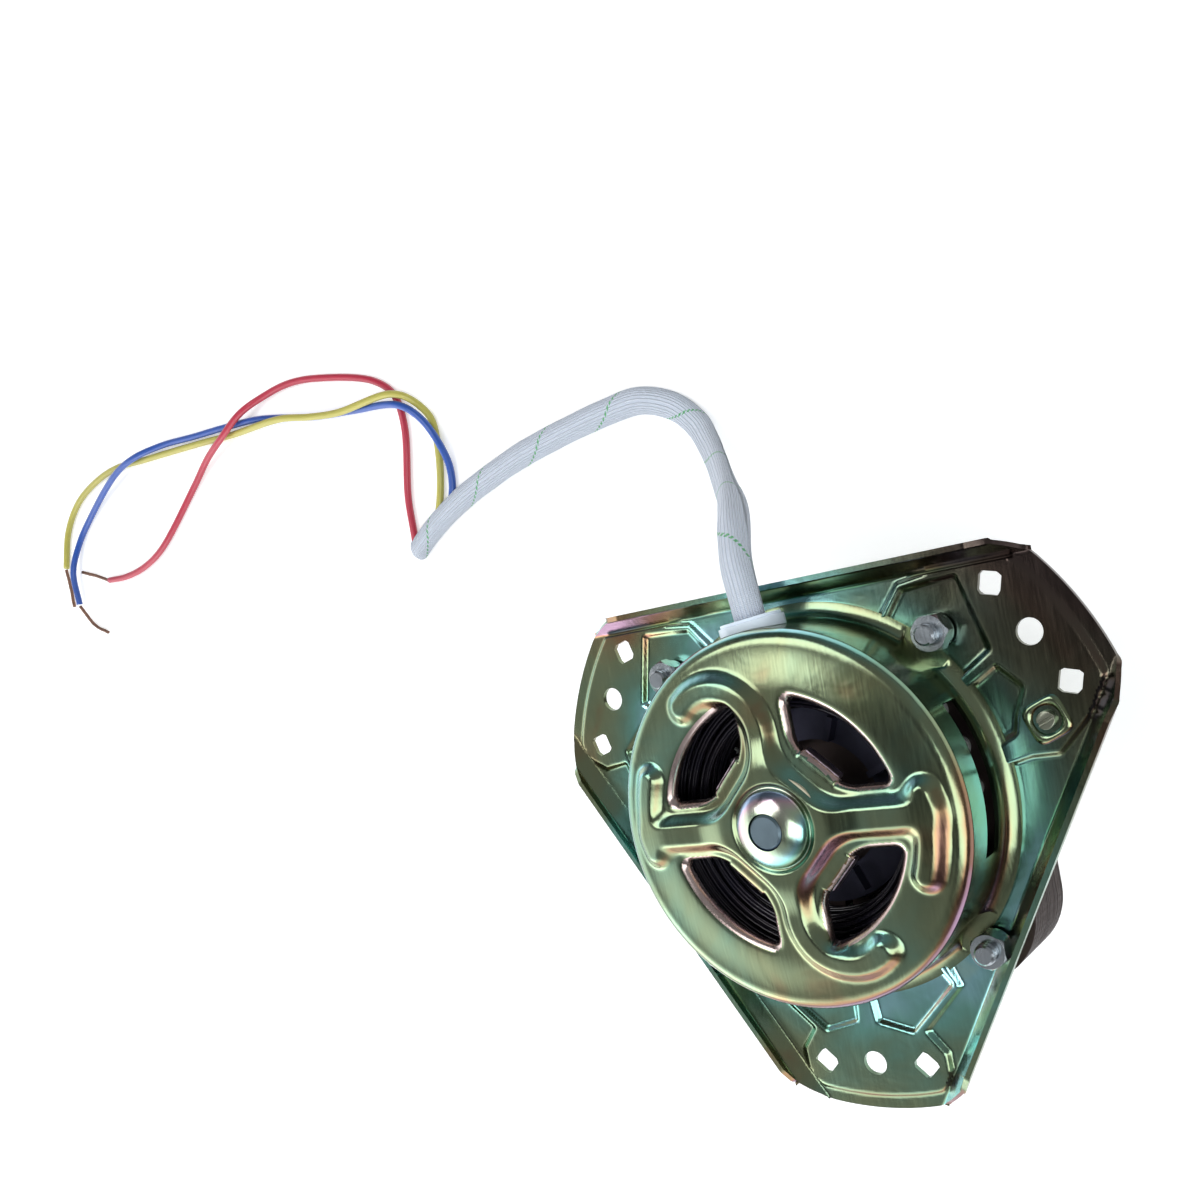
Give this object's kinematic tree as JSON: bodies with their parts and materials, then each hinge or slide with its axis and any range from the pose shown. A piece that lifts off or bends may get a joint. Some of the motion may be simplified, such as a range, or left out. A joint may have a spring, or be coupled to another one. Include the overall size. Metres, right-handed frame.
{
  "type": "washing machine spin motor",
  "caption": "Spin motor of a washing machine, with a three-lobed mounting plate, a pressed end cup and a braided lead.",
  "frame": {"origin": "centre of the circle through the round mounting holes, on the top face of the plate's lobe pads", "axes": "+Z along the shaft's axis towards the end cup, so that the driven end of the shaft points to -Z; +X between two lobes, 30 degrees short of the lobe with the slotted screw"},
  "size_m": [0.5889, 0.3035, 0.1125],
  "materials": {
    "chromate": "yellow-green chromate plating",
    "core_steel": "dark oxidised laminations",
    "zinc": "zinc plated",
    "winding": "dark varnish over copper wire",
    "liner": "white film",
    "shaft_steel": "ground",
    "cage": "cast",
    "bronze": "sintered",
    "felt": "oiled felt",
    "nylon": "pale nylon",
    "fibre": "brown fibre",
    "black_rubber": "matte",
    "braid": "bluish white braid",
    "red_insulation": "crimson",
    "yellow_insulation": "olive yellow",
    "blue_insulation": "royal blue",
    "strand": "dull copper"
  },
  "bodies": {
    "frame": {"mounting_plate": "chromate", "end_cup": "chromate", "front_housing": "chromate", "stator_core": "core_steel", "slot_liners": "liner", "rear_winding": "winding", "front_winding": "winding", "rear_bush": "bronze", "rear_bush_clip": "zinc", "rear_felt": "felt", "front_bush": "bronze", "front_bush_clip": "zinc", "front_felt": "felt", "clamp_bolts": "zinc", "clamp_nuts": "zinc", "spring_washers": "zinc", "plate_screw": "zinc", "screw_nut": "chromate", "cable_gland": "nylon", "lead_sleeve": "braid", "wire_red": "red_insulation", "wire_yellow": "yellow_insulation", "wire_blue": "blue_insulation", "strands_red": "strand", "strands_yellow": "strand", "strands_blue": "strand"},
    "rotor": {"shaft": "shaft_steel", "rotor_core": "core_steel", "rotor_cage": "cage", "rear_spacer": "nylon", "rear_washers": "fibre", "front_spacer": "nylon", "front_washers": "fibre", "shaft_slinger": "black_rubber"}
  },
  "joints": [
    {"name": "rotor_spin", "type": "hinge", "parent": "frame", "child": "rotor", "pos_m": [0, 0, 0], "axis": [0, 0, 1], "continuous": true}
  ]
}
